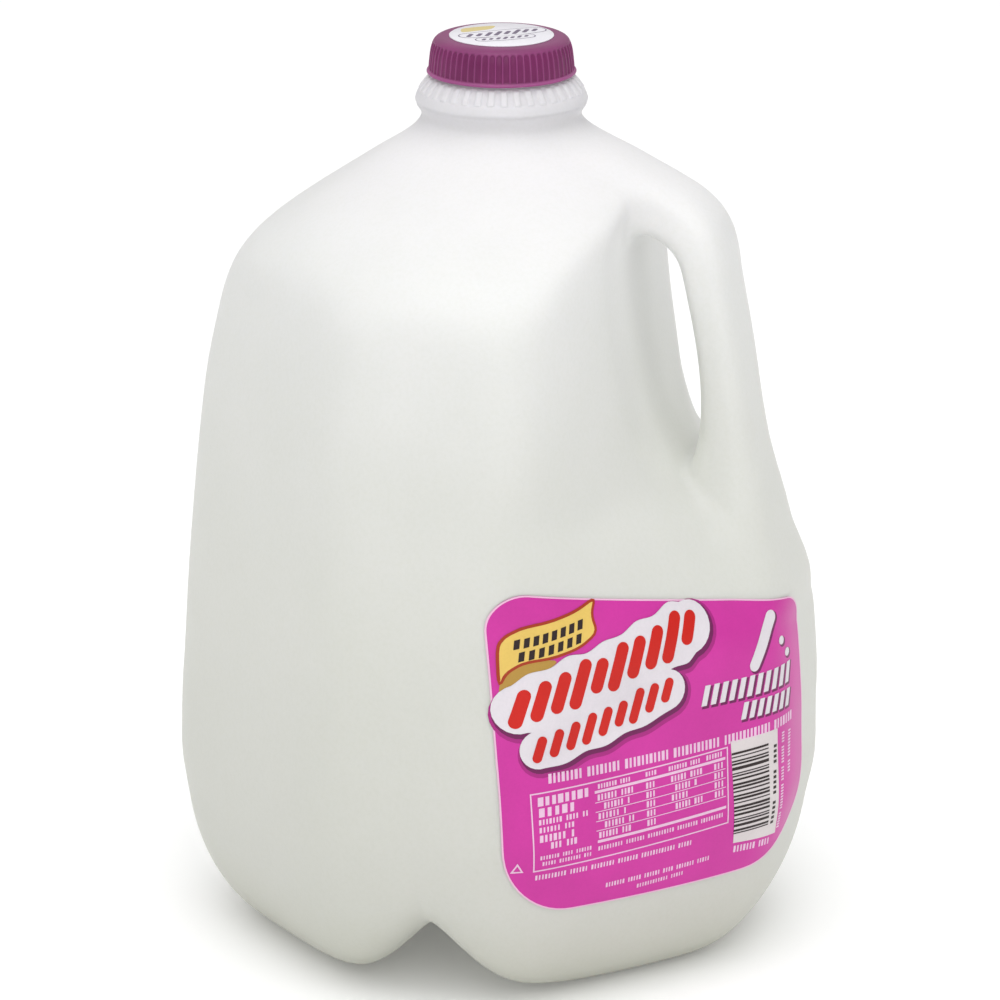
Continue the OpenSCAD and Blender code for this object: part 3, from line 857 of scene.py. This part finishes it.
pale += [cell_rule(0.305, 0.985, 0.14, 0.75), cell_rule(0.31, 0.985, 0.775, 0.75)]
pale += [cell_rule(0.305, 0.985, b, 0.22) for b in (0.275, 0.395, 0.515, 0.635)]
pale += cells(0.31, 0.97, 0.865, 1.2, 0.85, 0.5, (9, 7, 10, 8))
pale += marks(-36.4, 42.4, 12.2, 44.2, 1.4, 0.9, 0.5, (10, 6, 8, 7, 12)) + marks(-14.8, 36.6, 19.8, 38.0, 1.3, 0.85, 0.5, (7, 5, 6, 4)) + marks(-4.8, 34.4, 10.4, 35.3, 1.1, 0.8, 0.5, (12,))
pale += marks(27.0, 38.6, 41.2, 37.4, 2.0, 1.1, 0.55, (7, 6))
pale += upright(44.6, 40.0, 69.0, 1.2, 0.85) + upright(48.0, 55.8, 69.2, 1.3, 0.9, (4, 9))
frame_line = ([list(cell(0, 0)), list(cell(0, 1)), list(cell(1, 1)), list(cell(1, 0))],
              [list(cell(0.006, 0.016)), list(cell(0.006, 0.984)), list(cell(0.994, 0.984)), list(cell(0.994, 0.016))])
tri = [[-43.0, 44.4], [-39.6, 44.4], [-41.3, 47.2]]
tri_in = [[-42.3, 44.8], [-40.3, 44.8], [-41.3, 46.4]]

card = [[24.6, 70.8], [26.8, 40.6], [43.6, 38.9], [41.8, 70.6]]
black = []
zb, i = 43.4, 0
while zb < 67.4:
    w = 0.34 + 0.30 * ((i * 7) % 4) / 3 + (0.25 if i % 5 == 2 else 0)
    t = (zb - 40) / 30
    black.append([[26.6 - 1.9 * t, zb], [39.6 - 1.6 * t, zb - 0.5 + 0.5 * t], [39.6 - 1.6 * t, zb + w - 0.5 + 0.5 * t], [26.6 - 1.9 * t, zb + w]])
    zb += w + 0.36 + 0.22 * ((i * 5) % 3)
    i += 1
black += upright(41.0, 42.5, 67.5, 1.2, 1.5, (5, 5))
letters_brown = []
for k, (a, b, cnt) in enumerate((((-41.4, 108.0), (-20.6, 111.6), 8), ((-40.4, 104.6), (-21.2, 107.9), 7))):
    for q in range(cnt):
        t = (q + 0.5) / cnt
        letters_brown.append(bar(a[0] + (b[0] - a[0]) * t, a[1] + (b[1] - a[1]) * t - 0.5 * math.sin(math.pi * t), 1.55, 2.6, 0.35, 0.2))

film = sheet("label_film", [LABEL], 0.02, 0.30, INKS["magenta"])
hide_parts("label")
rim_in = rounded([(-44.2, 31.7), (58.5, 31.7), (54.75, 103.7), (-47.35, 122.65)], [20.1, 25.6, 7.6, 9.1], 14)
prints = [("label_edge", [(LABEL, rim_in)], 0.28, 0.335, "edge"),
          ("print_dusk", [stroke(*BAND, 2.9, (0.8, -1.3))], 0.28, 0.345, "dusk"),
          ("print_dusk_low", [stroke(*LOWER, 2.8, (0.8, -1.3))], 0.28, 0.335, "dusk"),
          ("print_dark", [stroke(*BAND, 2.1, (0.6, -0.9))], 0.30, 0.395, "dark"),
          ("print_dark_low", [stroke(*LOWER, 2.0, (0.6, -0.9))], 0.30, 0.370, "dark"),
          ("print_fold", [softened([[-44.9, 96.8], [-44.6, 92.6], [-41.0, 94.6], [-34.0, 99.0], [-28.0, 102.8], [-38.6, 103.2], [-42.8, 101.0]])], 0.28, 0.41, "fold"),
          ("print_rust", [grown(softened(RIBBON), 0.35)], 0.30, 0.43, "rust"),
          ("print_gold", [grown(softened(RIBBON), -0.45)], 0.32, 0.48, "gold"),
          ("print_white", [stroke(*BAND, 1.5)], 0.30, 0.56, "white"),
          ("print_white_low", [stroke(*LOWER, 1.5)], 0.30, 0.51, "white"),
          ("print_red", red, 0.48, 0.62, "red"),
          ("print_brown", letters_brown, 0.46, 0.53, "black"),
          ("print_shade", right_block(0.25, (0.55, -0.55)), 0.28, 0.34, "dark"),
          ("print_right", right_block(), 0.32, 0.39, "white"),
          ("print_pale", pale + [frame_line, (tri, tri_in)], 0.28, 0.34, "pale"),
          ("print_card", [card], 0.28, 0.34, "card"),
          ("print_bars", black, 0.32, 0.39, "black")]
for name, shapes, low, high, col in prints:
    sheet(name, shapes, low, high, INKS[col])

# ---------------------------------------------------------------- paper disc on the cap, with plain shapes
DISC_INKS = {"paper": ink("disc_paper", lin(240, 238, 244), 0.34), "grey": ink("disc_grey", lin(118, 106, 128), 0.36),
             "straw": ink("disc_straw", lin(222, 204, 140), 0.36)}
paper = lathe("disc_paper", [(14.1, 253.98), (14.3, 254.02), (14.3, 254.19), (14.2, 254.25), (7.0, 254.25)], np.arange(96) * 2 * math.pi / 96, None, [DISC_INKS["paper"]])
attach(paper, "root")
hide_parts("cap_disc")
c_band = ([(-9.0, -1.6), (-3, 0.4), (4, 3.2), (9.4, 5.6)], [1.9, 2.8, 2.9, 2.0])
c_low = ([(-5.0, -6.4), (1, -4.4), (7.0, -1.8)], [1.3, 1.7, 1.4])
c_bars = []
for (line, cnt, hw) in ((c_band, 8, 0.62), (c_low, 7, 0.5)):
    for i, (s, z, h) in enumerate(zip(*across(line, cnt, 0.02, 0.98))):
        g = max(0.3, (h - 0.7) * (0.8 + 0.2 * math.cos(2.4 * i)))
        c_bars.append(stroke([(s - 0.3 * g, z - g), (s + 0.3 * g, z + g)], [hw, hw]))
c_ribbon = softened([[-11.0, 2.2], [-7.0, 4.2], [-2.6, 6.6], [-1.4, 11.0], [-6.6, 9.4], [-11.2, 7.0]])
for name, shapes, low, high, col in (("disc_outline", [stroke(*c_band, 0.95), stroke(*c_low, 0.95)], 254.20, 254.262, "grey"),
                                     ("disc_field", [stroke(*c_band, 0.6), stroke(*c_low, 0.6)], 254.22, 254.272, "paper"),
                                     ("disc_bars", c_bars, 254.24, 254.282, "grey"),
                                     ("disc_ribbon", [c_ribbon], 254.20, 254.262, "straw")):
    sheet(name, shapes, low, high, DISC_INKS[col], on_cap, 4.0)

# ---------------------------------------------------------------- stage, light and camera
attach(jug, "root"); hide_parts("jug")
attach(neck, "root")
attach(cap, "root"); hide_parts("cap")

bm = bmesh.new()
bmesh.ops.create_grid(bm, x_segments=8, y_segments=8, size=6.0)
me = bpy.data.meshes.new("floor")
bm.to_mesh(me)
bm.free()
floor = bpy.data.objects.new("floor", me)
floor.location = (0, 0, -0.0002)
bpy.context.scene.collection.objects.link(floor)
fm, fnt, fb = material("floor_pale")
fnz = noise(fnt, 3.0, 2.0, 0.5, coords(fnt))
fr = ramp(fnt, fnz.outputs["Fac"], [(0.3, (0.93, 0.93, 0.93)), (0.7, (0.95, 0.95, 0.95))])
fnt.links.new(fr.outputs[0], fb.inputs["Base Color"])
fb.inputs["Roughness"].default_value = 0.9
fb.inputs["Emission Color"].default_value = (1.0, 1.0, 1.0, 1)
fb.inputs["Emission Strength"].default_value = 0.10
fb.inputs["Specular IOR Level"].default_value = 0.1
me.materials.append(fm)

world = bpy.data.worlds.new("studio")
bpy.context.scene.world = world
world.use_nodes = True
wb = world.node_tree.nodes["Background"]
wb.inputs["Color"].default_value = (1.0, 1.0, 1.0, 1)
wt = world.node_tree
wc = wt.nodes.new("ShaderNodeTexCoord")
wz = wt.nodes.new("ShaderNodeSeparateXYZ")
wr = wt.nodes.new("ShaderNodeMapRange")
wr.inputs["To Min"].default_value = 0.32
wr.inputs["To Max"].default_value = 1.22
wt.links.new(wc.outputs["Generated"], wz.inputs[0])
wt.links.new(wz.outputs["Z"], wr.inputs["Value"])
wt.links.new(wr.outputs[0], wb.inputs["Strength"])


def area(name, loc, target, size, power, color=(1, 1, 1)):
    d = bpy.data.lights.new(name, "AREA")
    d.shape = "RECTANGLE"
    d.size, d.size_y = size
    d.energy = power
    d.color = color
    o = bpy.data.objects.new(name, d)
    o.location = loc
    o.rotation_euler = (Vector(target) - Vector(loc)).to_track_quat("-Z", "Y").to_euler()
    bpy.context.scene.collection.objects.link(o)
    return o


area("key_top", (0.10, -0.55, 1.45), (0, 0, 0.12), (1.1, 1.1), 5.9)
area("front", (0.45, -1.5, 0.95), (0, 0, 0.12), (0.9, 0.9), 4.0)

cam_d = bpy.data.cameras.new("camera")
cam = bpy.data.objects.new("camera", cam_d)
cam.location = (0.4179, -1.5860, 0.62565)
cam.rotation_euler = (math.radians(72.92), 0, math.radians(14.76))
cam_d.lens = 221.86
cam_d.sensor_width = 36.0
cam_d.shift_x = -0.0017
cam_d.clip_end = 100
bpy.context.scene.collection.objects.link(cam)
bpy.context.scene.camera = cam
vs = bpy.context.scene.view_settings
vs.view_transform = "Standard"
vs.look = "None"
vs.exposure = 0.0
vs.gamma = 1.0
